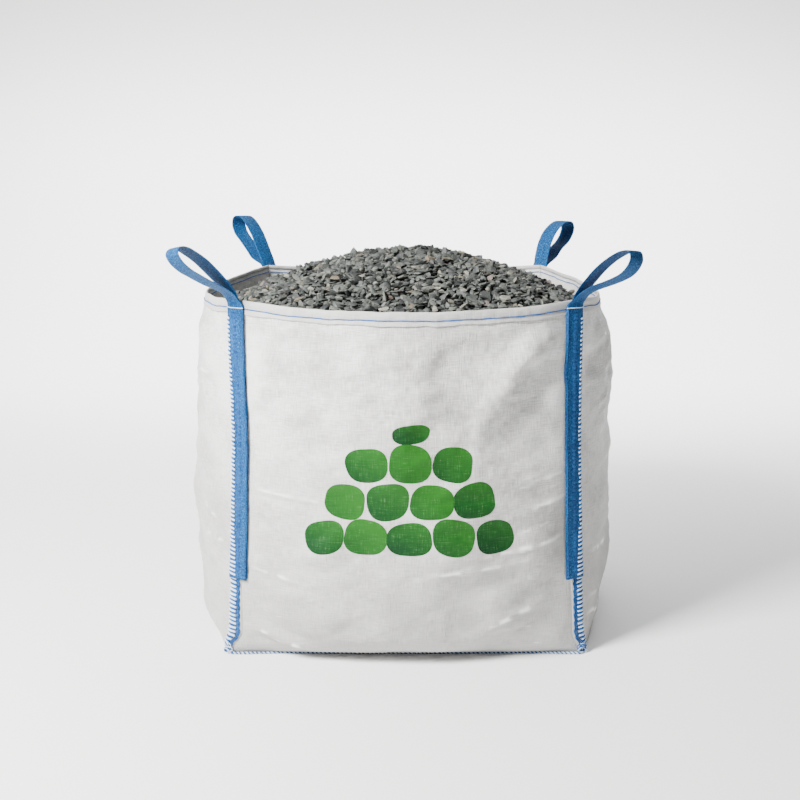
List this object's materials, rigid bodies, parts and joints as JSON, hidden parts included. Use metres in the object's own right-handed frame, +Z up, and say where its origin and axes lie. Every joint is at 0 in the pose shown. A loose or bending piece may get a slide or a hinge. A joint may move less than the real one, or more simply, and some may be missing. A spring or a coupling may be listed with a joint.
{
  "type": "bulk bag",
  "caption": "Square woven bulk bag, sewn from a base-and-sides length and two end panels, with webbing lifting loops at its corners and a heap of crushed stone inside.",
  "frame": {"origin": "on the floor, at the middle of the bag's base", "axes": "+Z up, +X towards the bag's right side seen from the printed front, +Y towards the back, so the printed front faces -Y"},
  "size_m": [1.1248, 1.1306, 1.025],
  "materials": {
    "woven_cloth": "white woven tape cloth, matt with a slight sheen",
    "blue_webbing": "blue flat woven webbing",
    "overlock_thread": "blue and white overlock thread",
    "sewing_thread": "blue sewing thread",
    "crushed_stone": "grey-green crushed stone, dry"
  },
  "bodies": {
    "bag": {"aggregate_fill": "crushed_stone", "back_panel": "woven_cloth", "body_panel": "woven_cloth", "bottom_overlock_back": "overlock_thread", "bottom_overlock_front": "overlock_thread", "bottom_seam_back": "woven_cloth", "bottom_seam_front": "woven_cloth", "corner_overlock_back_left": "overlock_thread", "corner_overlock_back_right": "overlock_thread", "corner_overlock_front_left": "overlock_thread", "corner_overlock_front_right": "overlock_thread", "corner_seam_back_left": "woven_cloth", "corner_seam_back_right": "woven_cloth", "corner_seam_front_left": "woven_cloth", "corner_seam_front_right": "woven_cloth", "front_panel": "woven_cloth", "hem_back": "woven_cloth", "hem_front": "woven_cloth", "hem_left": "woven_cloth", "hem_right": "woven_cloth", "hem_stitching_back": "sewing_thread", "hem_stitching_front": "sewing_thread", "hem_stitching_left": "sewing_thread", "hem_stitching_right": "sewing_thread", "strap_inner_back_left": "blue_webbing", "strap_inner_back_right": "blue_webbing", "strap_inner_front_left": "blue_webbing", "strap_inner_front_right": "blue_webbing", "strap_outer_back_left": "blue_webbing", "strap_outer_back_right": "blue_webbing", "strap_outer_front_left": "blue_webbing", "strap_outer_front_right": "blue_webbing", "strap_stitching_back_left": "sewing_thread", "strap_stitching_back_right": "sewing_thread", "strap_stitching_front_left": "sewing_thread", "strap_stitching_front_right": "sewing_thread"},
    "loop_front_left": {"lifting_loop_front_left": "blue_webbing"},
    "loop_front_right": {"lifting_loop_front_right": "blue_webbing"},
    "loop_back_left": {"lifting_loop_back_left": "blue_webbing"},
    "loop_back_right": {"lifting_loop_back_right": "blue_webbing"}
  },
  "joints": [
    {"name": "lifting_loop_front_left_swing", "type": "hinge", "parent": "bag", "child": "loop_front_left", "pos_m": [-0.41507, -0.41507, 0.887], "axis": [0.7071, -0.7071, 0], "range_deg": [-70, 75]},
    {"name": "lifting_loop_front_right_swing", "type": "hinge", "parent": "bag", "child": "loop_front_right", "pos_m": [0.41507, -0.41507, 0.887], "axis": [0.7071, 0.7071, 0], "range_deg": [-70, 75]},
    {"name": "lifting_loop_back_left_swing", "type": "hinge", "parent": "bag", "child": "loop_back_left", "pos_m": [-0.41507, 0.41507, 0.887], "axis": [-0.7071, -0.7071, 0], "range_deg": [-60, 55]},
    {"name": "lifting_loop_back_right_swing", "type": "hinge", "parent": "bag", "child": "loop_back_right", "pos_m": [0.41507, 0.41507, 0.887], "axis": [-0.7071, 0.7071, 0], "range_deg": [-60, 55]}
  ]
}
